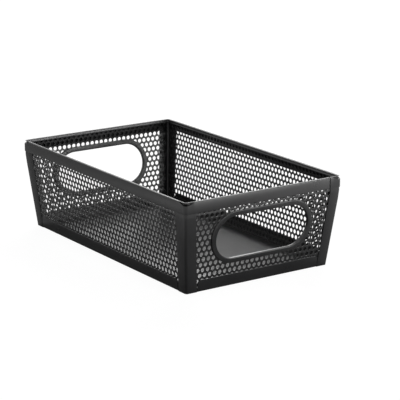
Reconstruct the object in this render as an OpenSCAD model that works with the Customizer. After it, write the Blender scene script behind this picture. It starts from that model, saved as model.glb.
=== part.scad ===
// Open storage basket of perforated sheet metal, with leaning walls that turn upright
// under a folded rim, a plain pan for a floor, four corner posts and two eyelet handles.
// It stands on z = 0, centred on the Z axis, with its length along Y and its front end at -Y.

/* [Overall size] */
// Width over the rim
rim_width = 152.4; // [130:0.1:200]
// Length over the rim
rim_length = 254; // [220:0.1:320]
// Height from the floor to the top of the rim
basket_height = 76.2; // [74:0.1:80]
// Thickness of every sheet
sheet = 0.6; // [0.5:0.05:0.8]

/* [Walls] */
// How far the foot of a long side stands in from the rim
side_inset = 7.0; // [4:0.1:9]
// How far the foot of a short end stands in from the rim
end_inset = 8.9; // [4:0.1:10]
// Height at which the leaning walls turn upright
bend_height = 64; // [63:0.1:65]

/* [Corner posts] */
// Width of a post's leg on a short end
post_on_end = 10.4; // [8:0.1:12]
// Width of a post's leg on a long side, at its foot
post_on_side_foot = 10.8; // [8:0.1:14]
// Width of a post's leg on a long side, at the bend
post_on_side_head = 13.7; // [8:0.1:16]
// Outer radius of the corner fold
fold_radius = 2; // [1.5:0.1:3]
// Height at which the fold starts to open towards the rim's larger radius
fold_open_height = 57; // [50:0.5:60]

/* [Rim] */
// Outer corner radius of the rim, seen from above
rim_radius = 3.2; // [3:0.1:8]
// Height of the rim's outer leg, down from the top
rim_outer_leg = 9.4; // [8:0.1:10]
// Height of the rim's inner leg, down from the top
rim_inner_leg = 2.8; // [2:0.1:5]
// Inner radius of the rim's two top bends
rim_bend_inside = 0.15; // [0.1:0.05:0.4]
// Distance of the butt seam from the corner, on the front end
seam_from_corner = 12; // [11:0.1:20]
// Width of the butt seam
seam_gap = 0.9; // [0.85:0.05:1.5]
// Radius of the notch at the foot of the seam
seam_notch = 0.7; // [0.5:0.05:0.8]
// How far the outer leg is cut down below the top, round each corner
relief_depth = 2; // [1:0.1:3]
// How far from the corner that cut runs out
relief_run = 9.5; // [8.5:0.1:10.5]

/* [Base pan] */
// Height of the pan's upturned flange, along the wall
flange_height = 10; // [6:0.1:11]
// Radius of the flange's free corners
flange_corner = 2.5; // [1:0.1:4]

/* [Perforation] */
// Diameter of a hole
hole_diameter = 3.5; // [3:0.05:3.7]
// Distance between the holes of a row
hole_pitch = 4.76; // [4.5:0.01:5.2]
// Distance between two rows
row_pitch = 4.54; // [4.3:0.01:5]
// Height of a counted row on the long sides, up the wall
side_row_height = 12.9; // [12:0.1:15]
// Height of the same row on the front end
front_row_height = 13.3; // [12:0.1:15]
// Height of the same row on the back end
back_row_height = 15; // [12:0.1:15.5]

/* [Handle openings] */
// Length of the opening
handle_length = 88.9; // [70:0.1:95]
// Height of the opening
handle_height = 35.6; // [30:0.1:36]
// Height of the opening's centre, up the wall
handle_centre = 41.5; // [40:0.1:42]
// Width of the eyelet's face round the opening
eyelet_face = 4.4; // [3:0.1:4.6]
// Thickness of the eyelet through the wall
eyelet_depth = 2.8; // [2:0.1:3.4]

/* [Hidden] */
coat = "#26262a";
floor_coat = "#303034";

// Angle by which each wall leans out from upright
side_lean = atan((side_inset - sheet) / bend_height);
end_lean = atan((end_inset - sheet) / bend_height);
// Half sizes of the foot of the walls, at z = 0
foot_half_width = rim_width / 2 - side_inset;
foot_half_length = rim_length / 2 - end_inset;
// Half sizes inside the rim's outer leg, where the walls stand upright
upright_half_width = rim_width / 2 - sheet;
upright_half_length = rim_length / 2 - sheet;
// The rim folds over two sheets, so it is four sheets thick
rim_depth = 4 * sheet;
rim_bend = sheet + rim_bend_inside;
wall_top = basket_height - 2 * sheet;
upright_radius = rim_radius - sheet;
// The posts end below the relief that is cut in the rim at each corner
post_top = wall_top - relief_depth;
// The relief takes away the outer bend and a little more
relief_width = rim_bend + rim_bend_inside;
// Clear edge that a sheet keeps outside its last holes, and half of it at a bend or an end
edge_margin = 0.6;
row_margin = edge_margin / 2;
// A panel stops this far short of where the curve of a corner begins
panel_clearance = 0.2;
panel_corner_gap = fold_radius + panel_clearance;
panel_upright_gap = upright_radius + panel_clearance;
// The eyelet's groove grips this much of the panel round the opening
groove_start = 1.2;
// Lowest rows of holes reach down behind the flange, the last ones up behind the rim
lowest_row = -2;
highest_row = 13;
// Room between the pan and the posts beside it
fit_gap = 0.1;
// The panels lie inside the posts and the flange, so their middle is this deep in a wall
panel_middle = 1.5 * sheet;
// How far the relief's straight cutters lap into its curved one
relief_lap = 0.5;
// How far a cutter runs past what it cuts
past = 1;
hole_sides = 24;
round_sides = 48;
fold_steps = 8;
// A post's section has a pair of points at each edge and at each end of a fold step
post_pairs = fold_steps + 3;

// Half width and half length of the walls' outer faces, a depth into the sheets, at height z
function half_width(z, depth) = z < bend_height
    ? foot_half_width + z * tan(side_lean) - depth / cos(side_lean)
    : upright_half_width - depth;
function half_length(z, depth) = z < bend_height
    ? foot_half_length + z * tan(end_lean) - depth / cos(end_lean)
    : upright_half_length - depth;
// Where a sheet's own bend lies, measured up its wall, a depth into the sheets
function bend_up(lean, depth) = bend_height / cos(lean) + depth * tan(lean / 2);

// Stands a drawing on a wall: X runs along it, Y up it, and Z out of it.
// A turn of 0 is the front end, 90 the right side, 180 the back end, 270 the left side.
module on_wall(turn, foot, lean) {
    rotate(turn) translate([0, -foot, 0]) rotate([90 + lean, 0, 0]) children();
}

// The same for the upright strip above the bend, with Y counted from the bend
module on_strip(turn, half) {
    rotate(turn) translate([0, -half, bend_height]) rotate([90, 0, 0]) children();
}

// A plain rectangle with rounded corners, centred
module rounded_plate(half_x, half_y, radius) {
    square([2 * half_x, 2 * (half_y - radius)], center = true);
    square([2 * (half_x - radius), 2 * half_y], center = true);
    for (x = [-1, 1], y = [-1, 1])
        translate([x * (half_x - radius), y * (half_y - radius)]) circle(radius, $fn = round_sides);
}

// A slot shape with round ends, centred
module stadium(length, height) {
    square([length - height, height], center = true);
    for (x = [-1, 1])
        translate([x * (length - height) / 2, 0]) circle(d = height, $fn = 2 * round_sides);
}

// True where a hole at x, y up the wall is clear of the handle opening
function clear_of_handle(x, y) =
    let (run = (handle_length - handle_height) / 2,
        along = max(abs(x) - run, 0),
        reach = handle_height / 2 + groove_start + hole_diameter / 2 + edge_margin)
    norm([along, y - handle_centre]) > reach;

// One row of holes, staggered by half a pitch on odd rows, as far as half_run
module hole_row(row, y, half_run, with_handle) {
    shift = row % 2 == 0 ? 0 : hole_pitch / 2;
    last = ceil(half_run / hole_pitch);
    for (i = [-last:last]) {
        x = i * hole_pitch + shift;
        fits = abs(x) <= half_run - hole_diameter / 2 - edge_margin;
        if (fits && (!with_handle || clear_of_handle(x, y)))
            translate([x, y]) circle(d = hole_diameter, $fn = hole_sides);
    }
}

// A perforated wall: a leaning sheet and an upright strip, drilled in staggered rows.
// The runs are its half lengths at the foot, where the corner folds open, and upright.
module perforated_panel(turn, foot, lean, upright_half, runs, first_row, with_handle) {
    bend = bend_up(lean, sheet);
    lift = sheet * tan(lean / 2);
    strip_height = wall_top - bend_height - lift;
    clear_edge = hole_diameter / 2 + row_margin;
    outline = [[0, runs[0] - panel_corner_gap], [fold_open_height, runs[1] - panel_corner_gap],
        [bend, runs[2] - panel_upright_gap]];
    function run_at(y) = lookup(y, outline);
    rows = [for (row = [lowest_row:highest_row]) [row, first_row + row * row_pitch]];
    difference() {
        union() {
            on_wall(turn, foot, lean) translate([0, 0, -2 * sheet]) linear_extrude(sheet) difference() {
                polygon([[-run_at(sheet), sheet], [run_at(sheet), sheet],
                    [run_at(fold_open_height), fold_open_height], [run_at(bend), bend],
                    [-run_at(bend), bend], [-run_at(fold_open_height), fold_open_height]]);
                for (row = rows)
                    if (row[1] > sheet + clear_edge && row[1] < bend - clear_edge)
                        hole_row(row[0], row[1], run_at(row[1]), with_handle);
                if (with_handle) translate([0, handle_centre])
                    stadium(handle_length + 2 * groove_start, handle_height + 2 * groove_start);
            }
            on_strip(turn, upright_half) translate([0, lift, -2 * sheet]) linear_extrude(sheet)
                difference() {
                    translate([-run_at(bend), 0]) square([2 * run_at(bend), strip_height]);
                    for (row = rows)
                        if (row[1] > bend + clear_edge && row[1] < bend + strip_height - clear_edge)
                            hole_row(row[0], row[1] - bend, run_at(bend), false);
                }
        }
        for (row = rows)
            if (abs(row[1] - bend) <= clear_edge)
                on_wall(turn, foot, lean) translate([0, 0, -3 * sheet]) linear_extrude(3 * sheet)
                    hole_row(row[0], row[1], run_at(bend), false);
    }
}

// Half lengths of the end panels and of the side panels
end_runs = [half_width(0, 0), half_width(fold_open_height, 0), upright_half_width];
side_runs = [half_length(0, 0), half_length(fold_open_height, 0), upright_half_length];

module end_panel(turn, first_row) {
    color(coat)
        perforated_panel(turn, foot_half_length, end_lean, upright_half_length, end_runs, first_row, true);
}

module side_panel(turn) {
    color(coat) perforated_panel(turn, foot_half_width, side_lean, upright_half_width, side_runs,
        side_row_height, false);
}

module front_panel() { end_panel(0, front_row_height); }
module back_panel() { end_panel(180, back_row_height); }
module left_panel() { side_panel(270); }
module right_panel() { side_panel(90); }

// Points of a post's bent section at height z, in the +X +Y corner: an outer one and an
// inner one at the end leg's edge, at each step round the fold, and at the side leg's edge
function post_section(z) =
    let (share = min(z / bend_height, 1),
        opened = min(max((z - fold_open_height) / (bend_height - fold_open_height), 0), 1),
        radius = fold_radius + (upright_radius - fold_radius) * opened,
        side_leg = post_on_side_foot + (post_on_side_head - post_on_side_foot) * share,
        steps = [for (i = [0:fold_steps]) 90 - 90 * i / fold_steps])
    concat([for (depth = [0, sheet]) [half_width(z, 0) - post_on_end, half_length(z, depth), z]],
        [for (angle = steps, depth = [0, sheet])
            [half_width(z, depth) - (radius - depth) * (1 - cos(angle)),
                half_length(z, depth) - (radius - depth) * (1 - sin(angle)), z]],
        [for (depth = [0, sheet]) [half_width(z, depth), half_length(z, 0) - side_leg, z]]);

// A folded angle strip over one corner, in flat quads between its sections
module corner_post(at_x, at_y) {
    levels = [0, fold_open_height, bend_height, post_top];
    last = len(levels) - 1;
    points = [for (z = levels) each post_section(z)];
    function at(level, pair, side) = 2 * (level * post_pairs + pair) + side;
    function cap(level) = [for (i = [0:post_pairs - 2])
        [at(level, i, 0), at(level, i + 1, 0), at(level, i + 1, 1), at(level, i, 1)]];
    function turned(faces) = [for (face = faces) [for (i = [len(face) - 1:-1:0]) face[i]]];
    function skin(side) = [for (k = [0:last - 1], i = [0:post_pairs - 2])
        [at(k, i, side), at(k, i + 1, side), at(k + 1, i + 1, side), at(k + 1, i, side)]];
    function edge(pair) = [for (k = [0:last - 1])
        [at(k, pair, 0), at(k + 1, pair, 0), at(k + 1, pair, 1), at(k, pair, 1)]];
    faces = concat(skin(0), turned(skin(1)), edge(0), turned(edge(post_pairs - 1)), turned(cap(0)),
        cap(last));
    color(coat) mirror([at_x < 0 ? 1 : 0, 0, 0]) mirror([0, at_y < 0 ? 1 : 0, 0])
        polyhedron(points, faces);
}

module front_left_post() { corner_post(-1, -1); }
module front_right_post() { corner_post(1, -1); }
module back_left_post() { corner_post(-1, 1); }
module back_right_post() { corner_post(1, 1); }

// The rim's folded section: X runs inward from its outer face, Y is the height
module rim_section() {
    translate([0, basket_height - rim_outer_leg]) square([sheet, rim_outer_leg - rim_bend]);
    translate([rim_depth - sheet, basket_height - rim_inner_leg])
        square([sheet, rim_inner_leg - rim_bend]);
    translate([rim_bend, basket_height - sheet]) square([rim_depth - 2 * rim_bend, sheet]);
    for (inner = [0, 1]) translate([rim_depth / 2, basket_height - rim_bend]) mirror([inner, 0])
        translate([rim_bend - rim_depth / 2, 0]) difference() {
            circle(rim_bend, $fn = round_sides);
            circle(rim_bend_inside, $fn = round_sides);
            translate([0, -past]) square([rim_bend + past, rim_bend + 2 * past]);
            translate([-rim_bend - past, -rim_bend - past])
                square([rim_bend + 2 * past, rim_bend + past]);
        }
}

// One straight run of the rim; a turn of 0 is the right side, 90 the back end
module rim_run(turn, half_across, run) {
    rotate(turn) translate([half_across, 0, 0]) rotate([90, 0, 0])
        linear_extrude(run, center = true) mirror([1, 0]) rim_section();
}

// Places a drawing at each rim corner, turned so that +X +Y points out of the corner
module at_rim_corners() {
    x = rim_width / 2 - rim_radius;
    y = rim_length / 2 - rim_radius;
    corners = [[x, y], [-x, y], [-x, -y], [x, -y]];
    for (i = [0:3]) translate(corners[i]) rotate(90 * i) children();
}

// What is cut from the rim's outer edge round one corner, deepest at the corner itself
module corner_relief() {
    run = relief_run - rim_radius;
    translate([0, 0, basket_height]) {
        translate([0, 0, -relief_depth]) rotate_extrude(angle = 90, $fn = round_sides)
            translate([rim_radius - relief_width, 0]) square([relief_width + past, relief_depth + past]);
        for (side = [0, 1]) mirror([side, -side, 0]) translate([rim_radius - relief_width, 0, 0])
            rotate([90, 0, 90]) linear_extrude(relief_width + past)
                polygon([[relief_lap, past], [relief_lap, -relief_depth], [0, -relief_depth],
                    [-run * (1 + past / relief_depth), past]]);
    }
}

// A folded strip over the top edge, with its seam on the front end and a relief at each corner
module rim_band() {
    color(coat) difference() {
        union() {
            for (turn = [0, 180]) rim_run(turn, rim_width / 2, rim_length - 2 * rim_radius);
            for (turn = [90, 270]) rim_run(turn, rim_length / 2, rim_width - 2 * rim_radius);
            at_rim_corners() rotate_extrude(angle = 90, $fn = round_sides)
                translate([rim_radius, 0]) mirror([1, 0]) rim_section();
        }
        at_rim_corners() corner_relief();
        translate([rim_width / 2 - seam_from_corner, -rim_length / 2, basket_height - rim_outer_leg]) {
            cube([seam_gap, 2 * (rim_depth + past), 2 * (rim_outer_leg + past)], center = true);
            translate([-seam_gap / 2, 0, 0]) rotate([90, 0, 0])
                cylinder(r = seam_notch, h = 2 * sheet, center = true, $fn = round_sides);
        }
    }
}

// A flange's outline on its wall, with rounded free corners
module flange_outline(half_run) {
    translate([-half_run, -sheet])
        square([2 * half_run, flange_height + sheet - flange_corner]);
    translate([flange_corner - half_run, -sheet])
        square([2 * (half_run - flange_corner), flange_height + sheet]);
    for (x = [-1, 1])
        translate([x * (half_run - flange_corner), flange_height - flange_corner])
            circle(flange_corner, $fn = round_sides);
}

module pan_flange(turn, foot, lean, half_run) {
    on_wall(turn, foot, lean) translate([0, 0, -sheet]) linear_extrude(sheet) flange_outline(half_run);
}

// The plain floor with a flange turned up outside each wall, between the posts
module base_pan() {
    end_run = foot_half_width - post_on_end - fit_gap;
    side_run = foot_half_length - post_on_side_foot - fit_gap;
    color(floor_coat) difference() {
        union() {
            translate([0, 0, -past]) linear_extrude(past + sheet) {
                rounded_plate(half_width(0, sheet) - fit_gap, half_length(0, sheet) - fit_gap,
                    fold_radius - sheet);
                square([2 * (end_run - fit_gap), 2 * foot_half_length - sheet], center = true);
                square([2 * foot_half_width - sheet, 2 * (side_run - fit_gap)], center = true);
            }
            for (turn = [0, 180]) pan_flange(turn, foot_half_length, end_lean, end_run);
            for (turn = [90, 270]) pan_flange(turn, foot_half_width, side_lean, side_run);
        }
        translate([0, 0, -rim_length]) cube(2 * rim_length, center = true);
    }
}

// The eyelet's section: X runs away from the opening, Y through the wall
module eyelet_section() {
    difference() {
        translate([eyelet_face / 2, 0]) stadium(eyelet_face, eyelet_depth);
        translate([groove_start, -sheet / 2]) square([eyelet_face, sheet]);
    }
}

// A rolled eyelet whose groove holds the panel's edge round the handle opening
module handle_eyelet(turn) {
    run = handle_length - handle_height;
    color(coat) on_wall(turn, foot_half_length, end_lean)
        translate([0, handle_centre, -panel_middle]) for (half = [0, 180]) rotate(half) {
            translate([0, handle_height / 2, 0]) rotate([90, 0, 90])
                linear_extrude(run, center = true) eyelet_section();
            translate([run / 2, 0, 0]) rotate(-90) rotate_extrude(angle = 180, $fn = round_sides)
                translate([handle_height / 2, 0]) eyelet_section();
        }
}

module front_eyelet() { handle_eyelet(0); }
module back_eyelet() { handle_eyelet(180); }

base_pan();
front_panel();
back_panel();
left_panel();
right_panel();
front_left_post();
front_right_post();
back_left_post();
back_right_post();
rim_band();
front_eyelet();
back_eyelet();
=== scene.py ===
"""Looks of a black powder-coated storage basket made of perforated sheet steel.

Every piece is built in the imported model's own frame, in metres: Z up, the length along Y and the
front end at -Y. A wall's own coordinates run along it, up its outer face, and into the sheets.
"""

import logging
import math
from collections.abc import Callable, Sequence
from dataclasses import dataclass, field
from enum import Enum

import bmesh
import bpy
import numpy as np
from mathutils import Matrix, Vector


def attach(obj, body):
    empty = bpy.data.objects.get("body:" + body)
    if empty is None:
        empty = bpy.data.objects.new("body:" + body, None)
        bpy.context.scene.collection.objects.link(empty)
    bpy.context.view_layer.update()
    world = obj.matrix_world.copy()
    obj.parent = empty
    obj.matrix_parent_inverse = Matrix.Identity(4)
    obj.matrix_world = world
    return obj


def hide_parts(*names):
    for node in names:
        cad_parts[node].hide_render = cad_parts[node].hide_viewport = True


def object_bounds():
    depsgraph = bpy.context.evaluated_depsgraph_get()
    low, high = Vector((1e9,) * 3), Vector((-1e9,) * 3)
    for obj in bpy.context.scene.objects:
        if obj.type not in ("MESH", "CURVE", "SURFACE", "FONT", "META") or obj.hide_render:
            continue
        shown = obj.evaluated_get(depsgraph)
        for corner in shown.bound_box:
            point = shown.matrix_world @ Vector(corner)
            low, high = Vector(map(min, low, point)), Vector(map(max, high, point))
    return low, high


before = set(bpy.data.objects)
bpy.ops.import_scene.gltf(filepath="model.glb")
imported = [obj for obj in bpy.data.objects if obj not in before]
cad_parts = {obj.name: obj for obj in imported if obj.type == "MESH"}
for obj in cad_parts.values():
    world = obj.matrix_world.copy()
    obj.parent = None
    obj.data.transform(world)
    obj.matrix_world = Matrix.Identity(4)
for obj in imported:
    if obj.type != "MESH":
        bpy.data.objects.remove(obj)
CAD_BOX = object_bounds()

LOG = logging.getLogger("basket")
MM = 0.001
BODY = "root"
SMOOTH_ANGLE = math.radians(32)
Ring = list[Vector]


class Side(Enum):
    """A wall of the basket, by the angle that turns the front end to it."""

    FRONT = 0
    RIGHT = 90
    BACK = 180
    LEFT = 270


class Slot(Enum):
    """The record's material slots."""

    PAN = "pan_coat"
    PANEL = "panel_coat"
    FRAME = "frame_coat"
    EYELET = "eyelet_coat"


def add_node(
    tree: bpy.types.NodeTree, kind: str, feeds: dict | None = None, **settings: object
) -> bpy.types.Node:
    """Adds a node with its settings, and feeds its inputs.

    Args:
        tree: The tree that gets the node.
        kind: The node's type name.
        feeds: Input name or number, to the socket linked there or the value set there.
        settings: Properties of the node, by name.

    Returns:
        The new node.
    """
    node = tree.nodes.new(kind)
    for name, value in settings.items():
        setattr(node, name, value)
    for key, value in (feeds or {}).items():
        if isinstance(value, bpy.types.NodeSocket):
            tree.links.new(value, node.inputs[key])
        else:
            node.inputs[key].default_value = value
    return node


def linear_colour(code: str) -> tuple[float, float, float, float]:
    """Turns an sRGB hex value into the linear colour that a shader takes.

    Args:
        code: Six hex digits, with or without a leading hash.

    Returns:
        Red, green, blue and an alpha of 1.
    """
    digits = code.lstrip("#")
    shares = [int(digits[i : i + 2], 16) / 255 for i in (0, 2, 4)]
    low, high = [c / 12.92 for c in shares], [((c + 0.055) / 1.055) ** 2.4 for c in shares]
    red, green, blue = (a if c <= 0.04045 else b for a, b, c in zip(low, high, shares))
    return red, green, blue, 1.0


@dataclass(frozen=True)
class PowderCoat:
    """Polyester powder coat, sprayed and baked on sheet steel.

    It melts into a closed film with a faint orange-peel ripple. The eye sees a near-black with a
    soft sheen, which greys wherever it faces the white floor, and thin light lines on the folds.
    """

    name: str = "black_powder_coat"
    colour: str = "#171718"
    roughness: float = 0.3
    index: float = 1.5
    # Orange peel: it breaks up the sheen a little and never shows as grain.
    ripple_size: float = 1.6 * MM
    ripple_detail: float = 2.0
    ripple_strength: float = 0.06
    ripple_height: float = 0.05 * MM
    # Uneven film: wide soft patches, a little lighter and a little rougher.
    cloud_size: float = 38 * MM
    cloud_detail: float = 3.0
    cloud_low: float = 0.3
    cloud_high: float = 0.7
    cloud_share: float = 0.12
    cloud_gain: float = 1.35

    def build(self) -> bpy.types.Material:
        """Builds the coat's material.

        Returns:
            A material that reads Object coordinates, so its scale is the real one.
        """
        material = bpy.data.materials.new(self.name)
        material.use_nodes = True
        tree = material.node_tree
        tree.nodes.clear()
        place = add_node(tree, "ShaderNodeTexCoord").outputs["Object"]
        clouds = add_node(
            tree,
            "ShaderNodeTexNoise",
            {"Vector": place, "Scale": 1 / self.cloud_size, "Detail": self.cloud_detail},
        ).outputs["Fac"]
        ripple = add_node(
            tree,
            "ShaderNodeTexNoise",
            {"Vector": place, "Scale": 1 / self.ripple_size, "Detail": self.ripple_detail},
        ).outputs["Fac"]
        bump = add_node(
            tree,
            "ShaderNodeBump",
            {"Height": ripple, "Strength": self.ripple_strength, "Distance": self.ripple_height},
        ).outputs["Normal"]
        sheen = add_node(
            tree,
            "ShaderNodeMapRange",
            {
                "Value": clouds,
                "From Min": self.cloud_low,
                "From Max": self.cloud_high,
                "To Min": self.roughness * (1 - self.cloud_share),
                "To Max": self.roughness * (1 + self.cloud_share),
            },
        ).outputs["Result"]
        dark = linear_colour(self.colour)
        light = (*(min(1.0, self.cloud_gain * part) for part in dark[:3]), 1.0)
        tint = add_node(
            tree, "ShaderNodeMix", {"Factor": clouds, "A": dark, "B": light}, data_type="RGBA"
        ).outputs["Result"]
        shader = add_node(
            tree,
            "ShaderNodeBsdfPrincipled",
            {"Base Color": tint, "Roughness": sheen, "Normal": bump, "IOR": self.index},
        )
        add_node(tree, "ShaderNodeOutputMaterial", {"Surface": shader.outputs[0]})
        return material


@dataclass(frozen=True)
class Wall:
    """One wall: it leans out up to the bend, and stands upright above it."""

    side: Side
    foot: float
    upright: float
    run_foot: float
    run_upright: float
    bend_height: float

    @property
    def lean(self) -> float:
        """Angle from upright of the leaning part."""
        return math.atan((self.upright - self.foot) / self.bend_height)

    def bend_up(self, depth: float) -> float:
        """Where the bend lies up the wall, for a face that is a depth into the sheets."""
        return self.bend_height / math.cos(self.lean) + depth * math.tan(self.lean / 2)

    def half_run(self, height: float) -> float:
        """Half the wall's length between its neighbours' outer faces, at a height."""
        share = min(height / self.bend_height, 1.0)
        return self.run_foot + (self.run_upright - self.run_foot) * share

    def folded(self, along: float, up: float, depth: float) -> Vector:
        """Takes a point of the unfolded wall to where the bend puts it, still in wall coordinates.

        Args:
            along: Distance along the wall from its middle.
            up: Distance up the outer face, over the bend.
            depth: Distance in from the outer face.

        Returns:
            The point: X along, Y up the leaning part, and Z out of it.
        """
        past = up - self.bend_up(0)
        if up < self.bend_up(depth):
            return Vector((along, up, -depth))
        up_strip, out_of_strip = past, -depth
        return Vector(
            (
                along,
                self.bend_up(0) + up_strip * math.cos(self.lean) + out_of_strip * math.sin(self.lean),
                out_of_strip * math.cos(self.lean) - up_strip * math.sin(self.lean),
            )
        )

    @property
    def stand(self) -> Matrix:
        """Stands wall coordinates on the basket's foot."""
        turn = Matrix.Rotation(math.radians(self.side.value), 4, "Z")
        tilt = Matrix.Rotation(math.pi / 2 + self.lean, 4, "X")
        return turn @ Matrix.Translation((0, -self.foot, 0)) @ tilt


@dataclass(frozen=True)
class BasketSizes:
    """The sizes that the pieces share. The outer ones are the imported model's."""

    width: float
    length: float
    height: float
    sheet: float = 0.6 * MM
    side_inset: float = 7.0 * MM
    end_inset: float = 8.9 * MM
    bend_height: float = 64.0 * MM
    fold_open_height: float = 57.0 * MM
    fold_radius: float = 2.0 * MM
    rim_radius: float = 3.2 * MM

    @classmethod
    def from_box(cls, low: Vector, high: Vector) -> "BasketSizes":
        """Takes the outer sizes from the model's box."""
        return cls(width=high.x - low.x, length=high.y - low.y, height=high.z - low.z)

    @property
    def rim_depth(self) -> float:
        """Thickness of the folded rim: its two legs and the two sheets between them."""
        return 4 * self.sheet

    @property
    def wall_top(self) -> float:
        """Height at which the panels end, under the rim's fold."""
        return self.height - 2 * self.sheet

    @property
    def upright_radius(self) -> float:
        """Corner radius of the posts where they stand upright inside the rim."""
        return self.rim_radius - self.sheet

    def wall(self, side: Side) -> Wall:
        """The wall on that side."""
        end = (self.length / 2 - self.end_inset, self.length / 2 - self.sheet)
        flank = (self.width / 2 - self.side_inset, self.width / 2 - self.sheet)
        own, next_wall = (end, flank) if side in (Side.FRONT, Side.BACK) else (flank, end)
        return Wall(side, *own, *next_wall, self.bend_height)


def skin(rings: Sequence[Ring], closed: bool) -> bmesh.types.BMesh:
    """Joins rings of points into one closed surface.

    Args:
        rings: Rings with the same number of points, each a closed loop.
        closed: True where the last ring joins the first; otherwise both ends are capped.

    Returns:
        The surface, with its faces pointing outwards.
    """
    made = bmesh.new()
    rows = [[made.verts.new(point) for point in ring] for ring in rings]
    pairs = list(zip(rows, rows[1:]))
    if closed:
        pairs.append((rows[-1], rows[0]))
    for near, far in pairs:
        for i, corner in enumerate(near):
            before = i - 1
            made.faces.new((near[before], corner, far[i], far[before]))
    if not closed:
        made.faces.new(rows[0])
        made.faces.new(rows[-1])
    bmesh.ops.recalc_face_normals(made, faces=made.faces)
    return made


def to_object(name: str, made: bmesh.types.BMesh) -> bpy.types.Object:
    """Turns a built surface into an object at the origin.

    Args:
        name: The object's name.
        made: The surface, which is freed.

    Returns:
        The object, linked to the scene.
    """
    mesh = bpy.data.meshes.new(name)
    made.to_mesh(mesh)
    made.free()
    piece = bpy.data.objects.new(name, mesh)
    bpy.context.scene.collection.objects.link(piece)
    return piece


def settle(piece: bpy.types.Object) -> None:
    """Replaces an object's mesh with what its modifiers make of it, and removes them."""
    graph = bpy.context.evaluated_depsgraph_get()
    mesh = bpy.data.meshes.new_from_object(piece.evaluated_get(graph), depsgraph=graph)
    piece.modifiers.clear()
    piece.data = mesh


def carve(piece: bpy.types.Object, tool: bpy.types.Object, operation: str = "DIFFERENCE") -> None:
    """Cuts a tool out of a piece, or joins it on, and deletes the tool.

    Args:
        piece: The piece that changes.
        tool: A closed mesh.
        operation: The Boolean modifier's operation.
    """
    cut = piece.modifiers.new("carve", "BOOLEAN")
    cut.operation = operation
    cut.solver = "MANIFOLD"
    cut.object = tool
    settle(piece)
    bpy.data.objects.remove(tool)


def dress(
    piece: bpy.types.Object, material: bpy.types.Material, node: str
) -> bpy.types.Object:
    """Shades a finished piece, and puts it in place of its CAD node.

    Args:
        piece: The piece, at the origin.
        material: Its finish.
        node: The CAD node that it stands for.

    Returns:
        The piece.
    """
    piece.data.materials.clear()
    piece.data.materials.append(material)
    piece.data.shade_smooth()
    piece.data.set_sharp_from_angle(angle=SMOOTH_ANGLE)
    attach(piece, BODY)
    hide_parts(node)
    LOG.info("%s: %d faces", piece.name, len(piece.data.polygons))
    return piece


def arc(centre: tuple[float, float], radius: float, start: float, end: float, steps: int) -> list:
    """Points of an arc in a plane.

    Args:
        centre: The arc's centre.
        radius: Its radius.
        start: First angle, in degrees.
        end: Last angle, in degrees.
        steps: Number of chords.

    Returns:
        The points, both ends included.
    """
    angles = [math.radians(start + (end - start) * i / steps) for i in range(steps + 1)]
    return [(centre[0] + radius * math.cos(a), centre[1] + radius * math.sin(a)) for a in angles]


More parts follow.
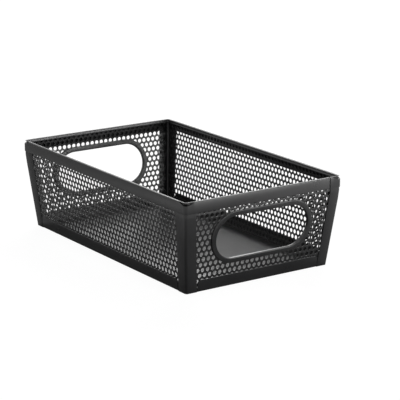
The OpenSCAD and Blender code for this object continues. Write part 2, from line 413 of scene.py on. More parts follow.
class Perforation:
    """Geometry Nodes that punch staggered rows of holes in a flat sheet.

    The sheet lies in its wall's coordinates: X along, Y up, and Z out of the wall.
    """

    SOCKETS = (
        ("Sheet", "NodeSocketGeometry"),
        ("Punch", "NodeSocketObject"),
        ("Handle Punch", "NodeSocketObject"),
        ("Pitch", "NodeSocketFloat"),
        ("Row Pitch", "NodeSocketFloat"),
        ("Lowest Row", "NodeSocketFloat"),
        ("Row Shift", "NodeSocketFloat"),
        ("Gaps Along", "NodeSocketInt"),
        ("Gaps Up", "NodeSocketInt"),
        ("Foot Limit", "NodeSocketFloat"),
        ("Limit Growth", "NodeSocketFloat"),
        ("Top Limit", "NodeSocketFloat"),
        ("Handle Run", "NodeSocketFloat"),
        ("Handle Centre", "NodeSocketFloat"),
        ("Handle Reach", "NodeSocketFloat"),
        ("Bend", "NodeSocketFloat"),
        ("Lean", "NodeSocketFloat"),
        ("Hole Radius", "NodeSocketFloat"),
        ("Seed", "NodeSocketInt"),
        ("Finish", "NodeSocketMaterial"),
    )

    def __init__(self) -> None:
        """Builds the tree."""
        self.tree = bpy.data.node_groups.new("punch_rows", "GeometryNodeTree")
        for name, kind in self.SOCKETS:
            self.tree.interface.new_socket(name, in_out="INPUT", socket_type=kind)
        self.tree.interface.new_socket("Sheet", in_out="OUTPUT", socket_type="NodeSocketGeometry")
        self._build()

    def _build(self) -> None:
        """Adds the nodes: a staggered lattice, its selection, the punches and the cut."""
        tree = self.tree
        given = add_node(tree, "NodeGroupInput").outputs
        place = add_node(tree, "GeometryNodeInputPosition").outputs[0]
        at = add_node(tree, "ShaderNodeSeparateXYZ", {0: place}).outputs
        spans = [
            add_node(
                tree, "ShaderNodeMath", {0: given[pitch], 1: given[gaps]}, operation="MULTIPLY"
            ).outputs[0]
            for pitch, gaps in (("Pitch", "Gaps Along"), ("Row Pitch", "Gaps Up"))
        ]
        counts = [
            add_node(
                tree, "FunctionNodeIntegerMath", {0: given[gaps], 1: 1}, operation="ADD"
            ).outputs[0]
            for gaps in ("Gaps Along", "Gaps Up")
        ]
        lattice = add_node(
            tree,
            "GeometryNodeMeshGrid",
            {"Size X": spans[0], "Size Y": spans[1], "Vertices X": counts[0], "Vertices Y": counts[1]},
        ).outputs["Mesh"]
        half_up = add_node(
            tree, "ShaderNodeMath", {0: spans[1], 1: 0.5}, operation="MULTIPLY"
        ).outputs[0]
        from_bottom = add_node(
            tree, "ShaderNodeMath", {0: at["Y"], 1: half_up}, operation="ADD"
        ).outputs[0]
        row = add_node(
            tree, "ShaderNodeMath", {0: from_bottom, 1: given["Row Pitch"]}, operation="DIVIDE"
        ).outputs[0]
        whole_row = add_node(tree, "ShaderNodeMath", {0: row}, operation="ROUND").outputs[0]
        shifted = add_node(
            tree, "ShaderNodeMath", {0: whole_row, 1: given["Row Shift"]}, operation="ADD"
        ).outputs[0]
        odd = add_node(
            tree, "ShaderNodeMath", {0: shifted, 1: 2.0}, operation="FLOORED_MODULO"
        ).outputs[0]
        half_pitch = add_node(
            tree, "ShaderNodeMath", {0: given["Pitch"], 1: 0.5}, operation="MULTIPLY"
        ).outputs[0]
        stagger = add_node(
            tree, "ShaderNodeMath", {0: odd, 1: half_pitch}, operation="MULTIPLY"
        ).outputs[0]
        lift = add_node(
            tree, "ShaderNodeMath", {0: half_up, 1: given["Lowest Row"]}, operation="ADD"
        ).outputs[0]
        offset = add_node(tree, "ShaderNodeCombineXYZ", {"X": stagger, "Y": lift}).outputs[0]
        staggered = add_node(
            tree, "GeometryNodeSetPosition", {"Geometry": lattice, "Offset": offset}
        ).outputs[0]
        points = add_node(
            tree,
            "GeometryNodeMeshToPoints",
            {"Mesh": staggered, "Selection": self._select(given, at)},
        ).outputs[0]
        over, turn = self._fold(given, at["Y"])
        bent = add_node(
            tree, "GeometryNodeSetPosition", {"Geometry": points, "Offset": over}
        ).outputs[0]
        placed = add_node(
            tree,
            "GeometryNodeInstanceOnPoints",
            {"Points": bent, "Instance": self._object(given["Punch"]), "Rotation": turn},
        ).outputs[0]
        punches = add_node(tree, "GeometryNodeRealizeInstances", {"Geometry": placed}).outputs[0]
        tools = add_node(tree, "GeometryNodeJoinGeometry")
        tree.links.new(self._object(given["Handle Punch"]), tools.inputs[0])
        tree.links.new(punches, tools.inputs[0])
        punched = add_node(
            tree,
            "GeometryNodeMeshBoolean",
            {0: given["Sheet"], 1: tools.outputs[0]},
            operation="DIFFERENCE",
            solver="MANIFOLD",
        ).outputs[0]
        whole = add_node(tree, "GeometryNodeRealizeInstances", {"Geometry": punched}).outputs[0]
        dressed = add_node(
            tree, "GeometryNodeSetMaterial", {"Geometry": whole, "Material": given["Finish"]}
        ).outputs[0]
        add_node(tree, "NodeGroupOutput", {0: dressed})

    def _object(self, source: bpy.types.NodeSocket) -> bpy.types.NodeSocket:
        """The geometry of an object given to the tree."""
        return add_node(self.tree, "GeometryNodeObjectInfo", {"Object": source}).outputs["Geometry"]

    def _fold(
        self, given: bpy.types.NodeOutputs, up: bpy.types.NodeSocket
    ) -> tuple[bpy.types.NodeSocket, bpy.types.NodeSocket]:
        """Takes the points past the bend round it, and turns their punches with them.

        Args:
            given: The tree's inputs.
            up: How far up the wall a point lies.

        Returns:
            A field of offsets, and a field of turns. A hole across the bend turns half way.
        """
        tree = self.tree
        above = add_node(
            tree, "ShaderNodeMath", {0: up, 1: given["Bend"]}, operation="SUBTRACT"
        ).outputs[0]
        past = add_node(tree, "ShaderNodeMath", {0: above, 1: 0.0}, operation="MAXIMUM").outputs[0]
        rise = add_node(tree, "ShaderNodeMath", {0: given["Lean"]}, operation="COSINE").outputs[0]
        drop = add_node(tree, "ShaderNodeMath", {0: rise, 1: 1.0}, operation="SUBTRACT").outputs[0]
        slope = add_node(tree, "ShaderNodeMath", {0: given["Lean"]}, operation="SINE").outputs[0]
        inward = add_node(tree, "ShaderNodeMath", {0: slope, 1: -1.0}, operation="MULTIPLY").outputs[0]
        direction = add_node(tree, "ShaderNodeCombineXYZ", {"Y": drop, "Z": inward}).outputs[0]
        offset = add_node(
            tree, "ShaderNodeVectorMath", {0: direction, "Scale": past}, operation="SCALE"
        ).outputs[0]
        below = add_node(
            tree, "ShaderNodeMath", {0: given["Hole Radius"], 1: -1.0}, operation="MULTIPLY"
        ).outputs[0]
        back = add_node(
            tree, "ShaderNodeMath", {0: given["Lean"], 1: -1.0}, operation="MULTIPLY"
        ).outputs[0]
        share = add_node(
            tree,
            "ShaderNodeMapRange",
            {"Value": above, "From Min": below, "From Max": given["Hole Radius"], "To Max": back},
        ).outputs[0]
        return offset, add_node(tree, "ShaderNodeCombineXYZ", {"X": share}).outputs[0]

    def _select(
        self, given: bpy.types.NodeOutputs, at: bpy.types.NodeOutputs
    ) -> bpy.types.NodeSocket:
        """Keeps the lattice points that lie on the sheet and clear of the handle opening.

        Args:
            given: The tree's inputs.
            at: A lattice point's coordinates.

        Returns:
            A field that is true for the points to punch.
        """
        tree = self.tree
        reach = add_node(tree, "ShaderNodeMath", {0: at["X"]}, operation="ABSOLUTE").outputs[0]
        limit = add_node(
            tree,
            "ShaderNodeMath",
            {0: at["Y"], 1: given["Limit Growth"], 2: given["Foot Limit"]},
            operation="MULTIPLY_ADD",
        ).outputs[0]
        least = add_node(
            tree, "ShaderNodeMath", {0: limit, 1: given["Top Limit"]}, operation="MINIMUM"
        ).outputs[0]
        on_sheet = add_node(
            tree, "FunctionNodeCompare", {0: reach, 1: least}, operation="LESS_THAN"
        ).outputs[0]
        past = add_node(
            tree, "ShaderNodeMath", {0: reach, 1: given["Handle Run"]}, operation="SUBTRACT"
        ).outputs[0]
        across = add_node(tree, "ShaderNodeMath", {0: past, 1: 0.0}, operation="MAXIMUM").outputs[0]
        above = add_node(
            tree, "ShaderNodeMath", {0: at["Y"], 1: given["Handle Centre"]}, operation="SUBTRACT"
        ).outputs[0]
        away = add_node(tree, "ShaderNodeCombineXYZ", {"X": across, "Y": above}).outputs[0]
        distance = add_node(tree, "ShaderNodeVectorMath", {0: away}, operation="LENGTH").outputs[
            "Value"
        ]
        clear = add_node(
            tree,
            "FunctionNodeCompare",
            {0: distance, 1: given["Handle Reach"]},
            operation="GREATER_THAN",
        ).outputs[0]
        return add_node(
            tree, "FunctionNodeBooleanMath", {0: on_sheet, 1: clear}, operation="AND"
        ).outputs[0]

    def punch(self, sheet: bpy.types.Object, values: dict[str, object]) -> None:
        """Punches a sheet and leaves it a plain mesh.

        Args:
            sheet: The flat sheet.
            values: The tree's inputs, by name.
        """
        modifier = sheet.modifiers.new("punch_rows", "NODES")
        modifier.node_group = self.tree
        for socket in self.tree.interface.items_tree:
            if socket.in_out == "INPUT" and socket.name in values:
                modifier[socket.identifier] = values[socket.name]
        settle(sheet)


@dataclass(frozen=True)
class HandleOpening:
    """The opening in an end wall, a slot with round ends, and the eyelet rolled round it."""

    length: float = 88.9 * MM
    height: float = 35.6 * MM
    centre_up: float = 41.5 * MM
    groove_start: float = 1.2 * MM
    face: float = 4.4 * MM
    depth: float = 2.8 * MM
    edge_radius: float = 0.8 * MM
    edge_steps: int = 7

    @property
    def run(self) -> float:
        """Half the straight stretch between the round ends."""
        return (self.length - self.height) / 2

    def outline(self, grow: float, steps: int = 28) -> list[tuple[tuple, tuple]]:
        """The opening's edge, grown outwards.

        Args:
            grow: How far out the outline lies.
            steps: Number of chords in each round end.

        Returns:
            Points with their outward directions, in wall coordinates.
        """
        found = []
        for sign, start in ((1, -90), (-1, 90)):
            for out in arc((0, 0), 1, start, start + 180, steps):
                radius = self.height / 2 + grow
                point = (sign * self.run + radius * out[0], self.centre_up + radius * out[1])
                found.append((point, out))
        return found


@dataclass
class PerforatedPanel:
    """One wall of perforated sheet, punched flat, folded at the bend and stood in place."""

    name: str
    wall: Wall
    sizes: BasketSizes
    first_row: float
    handle: HandleOpening | None = None
    hole_diameter: float = 3.5 * MM
    pitch: float = 4.76 * MM
    row_pitch: float = 4.54 * MM
    rows_below: int = 2
    rows: int = 16
    corner_gap: float = 2.2 * MM
    edge_margin: float = 0.6 * MM
    burr: float = 0.1 * MM
    hole_sides: int = 20

    def _front(self) -> float:
        """Depth of the panel's outer face: it lies behind the posts' sheet."""
        return self.sizes.sheet

    def _back(self) -> float:
        """Depth of the panel's inner face."""
        return 2 * self.sizes.sheet

    def _top_run(self) -> float:
        """Half length of the upright strip, clear of the corner's curve."""
        return self.wall.run_upright - self.sizes.upright_radius - self.edge_margin / 2

    def flat_sheet(self) -> bpy.types.Object:
        """Builds the blank sheet in wall coordinates, with a loop at each change of outline.

        Returns:
            The flat sheet.
        """
        wall, sizes = self.wall, self.sizes
        foot = wall.half_run(0) - self.corner_gap
        fold = wall.half_run(sizes.fold_open_height) - self.corner_gap
        top = wall.bend_up(0) + sizes.wall_top - sizes.bend_height
        rings = []
        for level, run in ((0, foot), (1, fold), (2, self._top_run()), (3, self._top_run())):
            ring = []
            for depth in (self._front(), self._back()):
                up = (sizes.sheet, sizes.fold_open_height, wall.bend_up(depth), top)[level]
                edge = [wall.folded(sign * run, up, depth) for sign in (-1, 1)]
                ring += edge if depth == self._front() else edge[::-1]
            rings.append(ring)
        return to_object(self.name, skin(rings, closed=False))

    def punch_tool(self) -> bpy.types.Object:
        """Builds the punch: a pin that flares at both faces, so that each hole has a soft edge."""
        radius = self.hole_diameter / 2
        front, back, past = self._front(), self._back(), 2 * self.burr
        stations = (
            (front - past, radius + self.burr + past),
            (front, radius + self.burr),
            (front + self.burr, radius),
            (back - self.burr, radius),
            (back, radius + self.burr),
            (back + past, radius + self.burr + past),
        )
        rings = [
            [Vector((x, y, -depth)) for x, y in arc((0, 0), size, 0, 360, self.hole_sides)[:-1]]
            for depth, size in stations
        ]
        return to_object("punch", skin(rings, closed=False))

    def handle_tool(self) -> bpy.types.Object | None:
        """Builds the punch for the handle opening, where the panel has one."""
        if self.handle is None:
            return None
        edge = [point for point, _ in self.handle.outline(self.handle.groove_start)]
        rings = [
            [Vector((x, y, -depth)) for x, y in edge]
            for depth in (self._front() - self.sizes.sheet, self._back() + self.sizes.sheet)
        ]
        return to_object("handle_punch", skin(rings, closed=False))

    def build(self, perforation: Perforation, material: bpy.types.Material) -> bpy.types.Object:
        """Makes the panel.

        Args:
            perforation: The tree that punches it.
            material: Its finish.

        Returns:
            The dressed panel.
        """
        wall, sizes = self.wall, self.sizes
        inset = self.hole_diameter / 2 + self.edge_margin
        foot_limit = wall.half_run(0) - self.corner_gap - inset
        growth = (wall.half_run(sizes.bend_height) - wall.half_run(0)) / sizes.bend_height
        clear = -1.0
        if self.handle is not None:
            clear = self.handle.height / 2 + self.handle.groove_start + inset
        sheet = self.flat_sheet()
        tools = [self.punch_tool(), self.handle_tool()]
        values = {
            "Punch": tools[0],
            "Handle Punch": tools[1],
            "Pitch": self.pitch,
            "Row Pitch": self.row_pitch,
            "Lowest Row": self.first_row - self.rows_below * self.row_pitch,
            "Row Shift": float(self.rows_below),
            "Gaps Along": 2 * math.ceil(wall.run_upright / self.pitch),
            "Gaps Up": self.rows - 1,
            "Foot Limit": foot_limit,
            "Limit Growth": growth,
            "Top Limit": self._top_run() - inset,
            "Handle Run": self.handle.run if self.handle else 0.0,
            "Handle Centre": self.handle.centre_up if self.handle else 0.0,
            "Handle Reach": clear,
            "Bend": wall.bend_up(0),
            "Lean": wall.lean,
            "Hole Radius": self.hole_diameter / 2,
            "Finish": material,
        }
        perforation.punch(sheet, values)
        for tool in filter(None, tools):
            bpy.data.objects.remove(tool)
        sheet.data.transform(wall.stand)
        dress(sheet, material, self.name.replace("_mesh", ""))
        self._crease(sheet.data)
        return sheet

    def _crease(self, mesh: bpy.types.Mesh) -> None:
        """Marks the bend's edges sharp, so that the flat faces beside them shade evenly."""
        heights = [
            self.sizes.bend_height + depth * math.tan(self.wall.lean / 2)
            for depth in (self._front(), self._back())
        ]
        at_bend = [
            any(abs(vertex.co.z - height) < 0.002 * MM for height in heights)
            for vertex in mesh.vertices
        ]
        for edge in mesh.edges:
            if at_bend[edge.vertices[0]] and at_bend[edge.vertices[1]]:
                edge.use_edge_sharp = True


@dataclass
class CornerPost:
    """A strip folded over one corner, whose fold opens up to the rim's radius."""

    name: str
    at_x: int
    at_y: int
    sizes: BasketSizes
    leg_on_end: float = 10.4 * MM
    leg_on_side_foot: float = 10.8 * MM
    leg_on_side_head: float = 13.7 * MM
    relief: float = 2.6 * MM
    fold_steps: int = 10
    open_steps: int = 6

    def _radius(self, height: float) -> float:
        """Outer radius of the fold at a height."""
        sizes = self.sizes
        share = (height - sizes.fold_open_height) / (sizes.bend_height - sizes.fold_open_height)
        share = min(max(share, 0.0), 1.0)
        return sizes.fold_radius + (sizes.upright_radius - sizes.fold_radius) * share

    def section(self, height: float) -> Ring:
        """The strip's closed section at a height, with round free edges.

        Args:
            height: Height above the floor.

        Returns:
            The ring of points for the +X +Y corner.
        """
        sizes = self.sizes
        across, along = sizes.wall(Side.RIGHT), sizes.wall(Side.BACK)
        x, y = along.half_run(height), across.half_run(height)
        radius, sheet = self._radius(height), sizes.sheet
        share = min(height / sizes.bend_height, 1.0)
        side_leg = self.leg_on_side_foot + (self.leg_on_side_head - self.leg_on_side_foot) * share
        centre = (x - radius, y - radius)
        outer = arc(centre, radius, 90, 0, self.fold_steps)
        inner = arc(centre, radius - sheet, 0, 90, self.fold_steps)
        side_end = arc((x - sheet / 2, y - side_leg + sheet / 2), sheet / 2, 0, -180, 4)
        end_end = arc((x - self.leg_on_end + sheet / 2, y - sheet / 2), sheet / 2, 270, 90, 4)
        points = outer + side_end + inner + end_end
        return [Vector((px * self.at_x, py * self.at_y, height)) for px, py in points]

    def build(self, material: bpy.types.Material) -> bpy.types.Object:
        """Makes the post, cut lower at its corner where the rim is relieved."""
        sizes = self.sizes
        opening = [
            sizes.fold_open_height
            + (sizes.bend_height - sizes.fold_open_height) * i / self.open_steps
            for i in range(self.open_steps + 1)
        ]
        heights = [0.0, *opening, sizes.wall_top - self.relief]
        rings = [self.section(height) for height in heights]
        piece = to_object(self.name + "_fold", skin(rings, closed=False))
        return dress(piece, material, self.name)


@dataclass
class RimBand:
    """A strip folded over the top edge, with one butt seam.

    Its outer leg is cut down at each corner, deepest at the corner itself.
    """

    sizes: BasketSizes
    outer_leg: float = 9.4 * MM
    inner_leg: float = 2.8 * MM
    bend_inside: float = 0.15 * MM
    bead_height: float = 0.8 * MM
    bead_swell: float = 0.35 * MM
    seam_from_corner: float = 12.0 * MM
    seam_gap: float = 0.9 * MM
    seam_notch: float = 0.7 * MM
    corner_run: float = 10.0 * MM
    relief: float = 2.6 * MM
    relief_width: float = 0.9 * MM
    relief_slope: float = 0.3 * MM
    corner_steps: int = 12
    run_steps: int = 6
    bend_steps: int = 5
    foot_steps: int = 6
    notch_sides: int = 20

    def section(self) -> list[tuple[float, float]]:
        """The folded section, with a foot curled into the basket.

        Returns:
            Points: distance in from the outer face, and height.
        """
        sheet, depth = self.sizes.sheet, self.sizes.rim_depth
        bead = sheet / 2
        bend = sheet + self.bend_inside
        bend_up = self.sizes.height - bend
        outer_foot = self.sizes.height - self.outer_leg + bead
        inner_foot = self.sizes.height - self.inner_leg + bead
        swell_up = inner_foot + self.bead_height
        points = arc((bead, outer_foot), bead, 180, 360, self.foot_steps)
        points += arc((bend, bend_up), self.bend_inside, 180, 90, self.bend_steps)
        points += arc((depth - bend, bend_up), self.bend_inside, 90, 0, self.bend_steps)
        points.append((depth - sheet, swell_up))
        points += arc((depth - bead + self.bead_swell, inner_foot), bead, 180, 360, self.foot_steps)
        points.append((depth, swell_up))
        points += arc((depth - bend, bend_up), bend, 0, 90, self.bend_steps)
        points += arc((bend, bend_up), bend, 90, 180, self.bend_steps)
        return points

    def corner(self, index: int) -> list[tuple[Vector, Vector, float]]:
        """The rim's outer edge round one corner, with its straight runs.

        Args:
            index: The corner, counted from the front right one, anticlockwise from above.

        Returns:
            Points with their outward directions, and with their distance from the corner's middle
            as a signed share of the whole run.
        """
        sizes = self.sizes
        radius = sizes.rim_radius
        side_x, side_y = ((1, -1), (1, 1), (-1, 1), (-1, -1))[index]
        centre = Vector(
            (side_x * (sizes.width / 2 - radius), side_y * (sizes.length / 2 - radius), 0)
        )
        start = 90 * index - 90
        straight = self.corner_run - radius
        half_arc = radius * math.pi / 4
        found = []
        for out in arc((0, 0), 1, start, start + 90, self.corner_steps):
            outward = Vector((*out, 0))
            turned = len(found) / self.corner_steps * 2 - 1
            found.append((centre + radius * outward, outward, turned * half_arc))
        for sign, (point, outward, _) in ((-1, found[0]), (1, found[-1])):
            onward = Vector((-outward.y, outward.x, 0)) * sign
            run = [
                (point + onward * step, outward, sign * (half_arc + step))
                for step in (straight * i / self.run_steps for i in range(1, self.run_steps + 1))
            ]
            found = run[::-1] + found if sign < 0 else found + run
        whole = half_arc + straight
        return [(point, outward, away / whole) for point, outward, away in found]

    def rings(self) -> list[Ring]:
        """The band's sections, from one side of the seam round to the other."""
        sizes = self.sizes
        seam = Vector((sizes.width / 2 - self.seam_from_corner, -sizes.length / 2, 0))
        half_gap = Vector((self.seam_gap / 2, 0, 0))
        front = Vector((0, -1, 0))
        stations = [(seam + half_gap, front)]
        for index in range(4):
            stations += [(point, outward) for point, outward, _ in self.corner(index)]
        stations.append((seam - half_gap, front))
        section = self.section()
        return [
            [point - outward * inward + Vector((0, 0, height)) for inward, height in section]
            for point, outward in stations
        ]

    def _corner_tool(self, index: int) -> bpy.types.Object:
        """The cutter for one corner's relief, whose floor slopes down outwards."""
        top = self.sizes.height + self.relief
        rings = []
        for point, outward, share in self.corner(index):
            low = self.sizes.height - self.relief * (1 - share**2)
            box = (
                (-self.relief_width, low - self.relief_slope),
                (self.relief_width, low + self.relief_slope),
                (self.relief_width, top),
                (-self.relief_width, top),
            )
            rings.append([point - outward * inward + Vector((0, 0, z)) for inward, z in box])
        return to_object("relief", skin(rings, closed=False))

    def _notch_tool(self) -> bpy.types.Object:
        """The cutter for the small round notch at the foot of the seam."""
        sizes = self.sizes
        x = sizes.width / 2 - self.seam_from_corner - self.seam_gap / 2
        z = sizes.height - self.outer_leg
        rings = [
            [
                Vector((x + dx, -sizes.length / 2 + depth, z + dz))
                for dx, dz in arc((0, 0), self.seam_notch, 0, 360, self.notch_sides)[:-1]
            ]
            for depth in (-sizes.sheet, 1.5 * sizes.sheet)
        ]
        return to_object("notch", skin(rings, closed=False))

    def build(self, material: bpy.types.Material) -> bpy.types.Object:
        """Makes the rim."""
        piece = to_object("rim_fold", skin(self.rings(), closed=False))
        for index in range(4):
            carve(piece, self._corner_tool(index))
        carve(piece, self._notch_tool())
        return dress(piece, material, "rim_band")


@dataclass
class HandleEyelet:
    """A rolled eyelet that grips the panel's edge round a handle opening."""

    name: str
    wall: Wall
    opening: HandleOpening
    sizes: BasketSizes
    steps: int = 28

    def section(self) -> list[tuple[float, float]]:
        """The rolled section: distance out from the opening, and out of the wall."""
        opening = self.opening
        radius, steps = opening.edge_radius, opening.edge_steps
        inner, outer = radius, opening.face - radius
        level = opening.depth / 2 - radius
        groove = self.sizes.sheet / 2
        points = arc((inner, level), radius, 90, 180, steps)
        points += arc((inner, -level), radius, 180, 270, steps)
        points += arc((outer, -level), radius, 270, 360, steps)
        points += [(opening.face, -groove), (opening.groove_start, -groove)]
        points += [(opening.groove_start, groove), (opening.face, groove)]
        points += arc((outer, level), radius, 0, 90, steps)
        return points

    def build(self, material: bpy.types.Material) -> bpy.types.Object:
        """Makes the eyelet."""
        middle = 1.5 * self.sizes.sheet
        section = self.section()
        rings = [
            [
                Vector((point[0] + out[0] * away, point[1] + out[1] * away, proud - middle))
                for away, proud in section
            ]
            for point, out in self.opening.outline(0.0, self.steps)
        ]
        piece = to_object(self.name + "_roll", skin(rings, closed=True))
        piece.data.transform(self.wall.stand)
        return dress(piece, material, self.name)


@dataclass
class BasePan:
    """The plain floor, with a flange folded up outside each wall between the posts."""

    sizes: BasketSizes
    flange_height: float = 10.0 * MM
    flange_corner: float = 2.5 * MM
    fold_radius: float = 0.9 * MM
    post_on_end: float = 10.5 * MM
    post_on_side: float = 10.9 * MM
    fold_steps: int = 6
    corner_steps: int = 8
    edge_turn: float = 80.0
    edge_steps: int = 4

    def _flange(self, wall: Wall, half_run: float) -> bpy.types.Object:
        """Builds one flange as a bent strip with round free corners.

        Args:
            wall: The wall that it backs.
            half_run: Half its length.

        Returns:
            The strip, which starts inside the floor's edge.
        """
        sheet, lean = self.sizes.sheet, wall.lean
        radius, corner = self.fold_radius, self.flange_corner
        tangent = radius * math.tan((math.pi / 2 - lean) / 2)
        centre = (wall.foot - tangent, radius)
        profile = [((centre[0] - 2 * radius, 0.0), (0.0, -1.0), half_run, 0.0)]
        for out in arc((0, 0), 1, -90, -math.degrees(lean), self.fold_steps):
            point = (centre[0] + radius * out[0], centre[1] + radius * out[1])
            profile.append((point, out, half_run, 0.0))
        normal = (math.cos(lean), -math.sin(lean))
        half = sheet / 2
        top = self.flange_height - half
        rises = [
            (top - corner + rise, half_run - corner + run, 0.0)
            for run, rise in arc((0, 0), corner, 0, 90, self.corner_steps)
        ]
        rises += [
            (top + rise, half_run - corner, half - run)
            for run, rise in arc((0, 0), half, 0, self.edge_turn, self.edge_steps)[1:]
        ]
        for up, run, inset in rises:
            point = (wall.foot + up * math.sin(lean), up * math.cos(lean))
            profile.append((point, normal, run, inset))
        turn_to_wall = Matrix.Rotation(math.radians(wall.side.value), 3, "Z")
        rings = []
        for (out, height), (nx, nz), run, inset in profile:
            faces = [(out - nx * deep, height - nz * deep) for deep in (inset, sheet - inset)]
            corners = [(-run, faces[0]), (run, faces[0]), (run, faces[1]), (-run, faces[1])]
            rings.append([turn_to_wall @ Vector((x, -o, z)) for x, (o, z) in corners])
        return to_object("flange", skin(rings, closed=False))

    def _floor(self) -> bpy.types.Object:
        """Builds the flat floor, with cut corners that the posts stand outside."""
        sizes = self.sizes
        x = sizes.wall(Side.RIGHT).foot
        y = sizes.wall(Side.BACK).foot
        inset, radius = sizes.sheet, sizes.fold_radius - sizes.sheet
        fold = self.fold_radius
        quarter = [
            (x - fold, y - self.post_on_side),
            (x - inset, y - self.post_on_side),
            *arc((x - inset - radius, y - inset - radius), radius, 0, 90, 6),
            (x - self.post_on_end, y - inset),
            (x - self.post_on_end, y - fold),
        ]
        outline = quarter + [(-px, py) for px, py in quarter[::-1]]
        outline += [(-px, -py) for px, py in outline]
        rings = [[Vector((px, py, z)) for px, py in outline] for z in (0.0, sizes.sheet)]
        return to_object("base_pan_sheet", skin(rings, closed=False))

    def build(self, material: bpy.types.Material) -> bpy.types.Object:
        """Makes the pan."""
        piece = self._floor()
        end_run = self.sizes.wall(Side.RIGHT).foot - self.post_on_end
        side_run = self.sizes.wall(Side.BACK).foot - self.post_on_side
        for side in Side:
            run = end_run if side in (Side.FRONT, Side.BACK) else side_run
            carve(piece, self._flange(self.sizes.wall(side), run), "UNION")
        return dress(piece, material, "base_pan")


def towards(azimuth: float, elevation: float) -> Vector:
    """A unit vector from the basket, by degrees round from the front end and degrees up."""
    turn, rise = math.radians(azimuth), math.radians(elevation)
    return Vector((math.sin(turn) * math.cos(rise), -math.cos(turn) * math.cos(rise), math.sin(rise)))


@dataclass(frozen=True)
class SoftLamp:
    """A rectangular soft lamp that points at the basket."""

    name: str
    azimuth: float
    elevation: float
    width: float
    height: float
    power: float
    distance: float = 1.6

    def add(self, aim: Vector) -> None:
        """Hangs the lamp, pointed at a place."""
        data = bpy.data.lights.new(self.name, "AREA")
        data.shape, data.size, data.size_y = "RECTANGLE", self.width, self.height
        data.energy = self.power
        lamp = bpy.data.objects.new(self.name, data)
        lamp.location = towards(self.azimuth, self.elevation) * self.distance
        lamp.rotation_mode = "QUATERNION"
        lamp.rotation_quaternion = (aim - lamp.location).to_track_quat("-Z", "Y")
        bpy.context.scene.collection.objects.link(lamp)


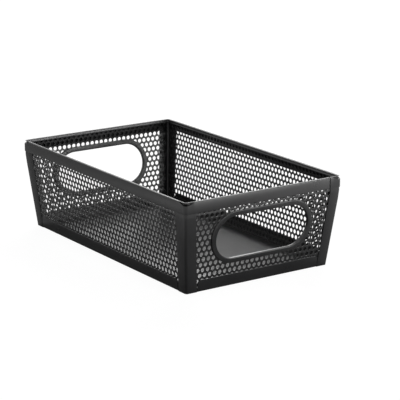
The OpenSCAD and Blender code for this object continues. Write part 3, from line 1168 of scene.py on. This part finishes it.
@dataclass
class Studio:
    """Camera, pale floor, white surroundings and soft lamps."""

    azimuth: float = -34.33
    elevation: float = 15.33
    roll: float = 0.04
    target: tuple[float, float, float] = (24.28 * MM, -0.23 * MM, 35.0 * MM)
    distance: float = 1477.2 * MM
    lens: float = 155.66
    sensor: float = 36.0
    reach: float = 50.0
    floor_size: float = 12.0
    floor_tone: str = "#eeeeee"
    white: str = "#ffffff"
    # What the camera sees of the floor: an even glow, and a share of its own lit tone, which
    # holds the basket's faint shadow.
    floor_glow: float = 0.96
    floor_own_share: float = 0.2
    # The coat mirrors the lit floor with its shadow, and the glow too. Into the glow that it mirrors a
    # shade is painted: weak round the basket, in front of it and to its left, and painted to fall off
    # away from the front lamp.
    painted_shade_low: tuple[float, float, float] = (-130 * MM, -200 * MM, 0.0)
    painted_shade_high: tuple[float, float, float] = (60 * MM, 200 * MM, 0.0)
    painted_shade_edge: float = 110 * MM
    painted_shade_share: float = 0.05
    bright_azimuth: float = 20.0
    bright_from: float = -170 * MM
    dim_from: float = -330 * MM
    dim_share: float = 0.1
    lamps: tuple[SoftLamp, ...] = (
        SoftLamp("front", 34, 5, 1.2, 0.26, 13.0),
        SoftLamp("back_key", 137, 36, 1.1, 0.7, 14.0),
        SoftLamp("left", 236, 6, 0.8, 0.3, 1.0),
        SoftLamp("top", 65, 52, 0.5, 0.5, 1.5),
        SoftLamp("fill", 290, 30, 0.8, 0.8, 2.5),
    )
    lamp_aim: tuple[float, float, float] = (0.0, 0.0, 30.0 * MM)

    def add_camera(self) -> None:
        """Adds the camera at the photograph's viewing angle."""
        back = towards(self.azimuth, self.elevation)
        data = bpy.data.cameras.new("camera")
        data.lens, data.sensor_width, data.clip_end = self.lens, self.sensor, self.reach
        camera = bpy.data.objects.new("camera", data)
        camera.location = Vector(self.target) + back * self.distance
        camera.rotation_mode = "QUATERNION"
        tilt = Matrix.Rotation(math.radians(self.roll), 3, "Z").to_quaternion()
        camera.rotation_quaternion = (-back).to_track_quat("-Z", "Y") @ tilt
        bpy.context.scene.collection.objects.link(camera)
        bpy.context.scene.camera = camera

    def _seen(
        self, tree: bpy.types.NodeTree, mirrored: float | bpy.types.NodeSocket
    ) -> bpy.types.NodeSocket:
        """A value for the rays that see the background, directly or by reflection.

        Args:
            tree: The material or world that asks.
            mirrored: The value for reflected rays. It is 1 for the camera's own.

        Returns:
            The value.
        """
        rays = add_node(tree, "ShaderNodeLightPath").outputs
        glossy = add_node(
            tree, "ShaderNodeMath", {0: rays["Is Glossy Ray"], 1: mirrored}, operation="MULTIPLY"
        ).outputs[0]
        direct = add_node(
            tree, "ShaderNodeMath", {0: rays["Is Camera Ray"], 1: glossy}, operation="MAXIMUM"
        ).outputs[0]
        return add_node(
            tree,
            "ShaderNodeMath",
            {0: direct, 1: rays["Is Transmission Ray"]},
            operation="MAXIMUM",
        ).outputs[0]

    def _glow_with_painted_shade(self, tree: bpy.types.NodeTree) -> bpy.types.NodeSocket:
        """How much of the floor's glow the coat mirrors, at each place of the floor: a painted shade,
        weak in a box round the basket and falling off away from the front lamp.
        """
        place = add_node(tree, "ShaderNodeTexCoord").outputs["Object"]
        below = add_node(
            tree, "ShaderNodeVectorMath", {0: self.painted_shade_low, 1: place}, operation="SUBTRACT"
        ).outputs["Vector"]
        above = add_node(
            tree, "ShaderNodeVectorMath", {0: place, 1: self.painted_shade_high}, operation="SUBTRACT"
        ).outputs["Vector"]
        past = add_node(
            tree, "ShaderNodeVectorMath", {0: below, 1: above}, operation="MAXIMUM"
        ).outputs["Vector"]
        outside = add_node(
            tree, "ShaderNodeVectorMath", {0: past, 1: (0.0, 0.0, 0.0)}, operation="MAXIMUM"
        ).outputs["Vector"]
        away = add_node(
            tree, "ShaderNodeVectorMath", {0: outside}, operation="LENGTH"
        ).outputs["Value"]
        ahead = add_node(
            tree,
            "ShaderNodeVectorMath",
            {0: place, 1: towards(self.bright_azimuth, 0)},
            operation="DOT_PRODUCT",
        ).outputs["Value"]
        shares = [
            add_node(
                tree,
                "ShaderNodeMapRange",
                {"Value": value, "From Min": dark, "From Max": bright, "To Min": least},
                interpolation_type="SMOOTHSTEP",
            ).outputs["Result"]
            for value, dark, bright, least in (
                (away, 0.0, self.painted_shade_edge, self.painted_shade_share),
                (ahead, self.dim_from, self.bright_from, self.dim_share),
            )
        ]
        return add_node(
            tree, "ShaderNodeMath", {0: shares[0], 1: shares[1]}, operation="MULTIPLY"
        ).outputs[0]

    def add_floor(self) -> None:
        """Adds the plain pale floor, which shows white and keeps a soft shadow."""
        made = bmesh.new()
        bmesh.ops.create_grid(made, x_segments=1, y_segments=1, size=self.floor_size / 2)
        floor = to_object("floor", made)
        material = bpy.data.materials.new("white_paper")
        material.use_nodes = True
        tree = material.node_tree
        tree.nodes.clear()
        tone = linear_colour(self.floor_tone)
        faint = (*(self.floor_own_share * part for part in tone[:3]), 1.0)
        paper = add_node(tree, "ShaderNodeBsdfDiffuse", {"Color": tone}).outputs[0]
        shadowed = add_node(tree, "ShaderNodeBsdfDiffuse", {"Color": faint}).outputs[0]
        glow = add_node(
            tree,
            "ShaderNodeEmission",
            {"Color": linear_colour(self.white), "Strength": self.floor_glow},
        ).outputs[0]
        lit = add_node(tree, "ShaderNodeAddShader", {0: shadowed, 1: glow}).outputs[0]
        # Painted shade: reflections see less of the floor's glow round the basket and away from the
        # front lamp.
        seen = self._seen(tree, self._glow_with_painted_shade(tree))
        shown = add_node(tree, "ShaderNodeMixShader", {0: seen, 1: paper, 2: lit}).outputs[0]
        add_node(tree, "ShaderNodeOutputMaterial", {"Surface": shown})
        floor.data.materials.append(material)

    def add_world(self) -> None:
        """Adds surroundings that show white and leave the light to the lamps."""
        world = bpy.data.worlds.new("studio")
        world.use_nodes = True
        tree = world.node_tree
        tree.nodes.clear()
        white = linear_colour(self.white)
        shown = add_node(
            tree, "ShaderNodeBackground", {"Color": white, "Strength": self._seen(tree, 1.0)}
        ).outputs[0]
        add_node(tree, "ShaderNodeOutputWorld", {"Surface": shown})
        bpy.context.scene.world = world

    def build(self) -> None:
        """Builds the whole studio."""
        self.add_camera()
        self.add_floor()
        self.add_world()
        for lamp in self.lamps:
            lamp.add(Vector(self.lamp_aim))
        bpy.context.scene.view_settings.view_transform = "Standard"


@dataclass
class Basket:
    """The whole basket."""

    sizes: BasketSizes
    opening: HandleOpening = field(default_factory=HandleOpening)
    side_row: float = 12.9 * MM
    front_row: float = 13.3 * MM
    back_row: float = 15.0 * MM

    def build(self) -> None:
        """Builds and dresses every piece."""
        coat = PowderCoat().build()
        BasePan(self.sizes).build(coat)
        for x, y, name in (
            (-1, -1, "front_left_post"),
            (1, -1, "front_right_post"),
            (-1, 1, "back_left_post"),
            (1, 1, "back_right_post"),
        ):
            CornerPost(name, x, y, self.sizes).build(coat)
        RimBand(self.sizes).build(coat)
        perforation = Perforation()
        for side, name, row, handle in (
            (Side.FRONT, "front_panel", self.front_row, self.opening),
            (Side.BACK, "back_panel", self.back_row, self.opening),
            (Side.LEFT, "left_panel", self.side_row, None),
            (Side.RIGHT, "right_panel", self.side_row, None),
        ):
            wall = self.sizes.wall(side)
            PerforatedPanel(name + "_mesh", wall, self.sizes, row, handle).build(
                perforation, coat
            )
            if handle is not None:
                eyelet = name.replace("panel", "eyelet")
                HandleEyelet(eyelet, wall, handle, self.sizes).build(coat)


def main() -> None:
    """Builds the studio and the basket."""
    logging.basicConfig(level=logging.INFO, format="%(name)s %(message)s")
    Studio().build()
    Basket(BasketSizes.from_box(*CAD_BOX)).build()


if __name__ == "__main__":
    main()
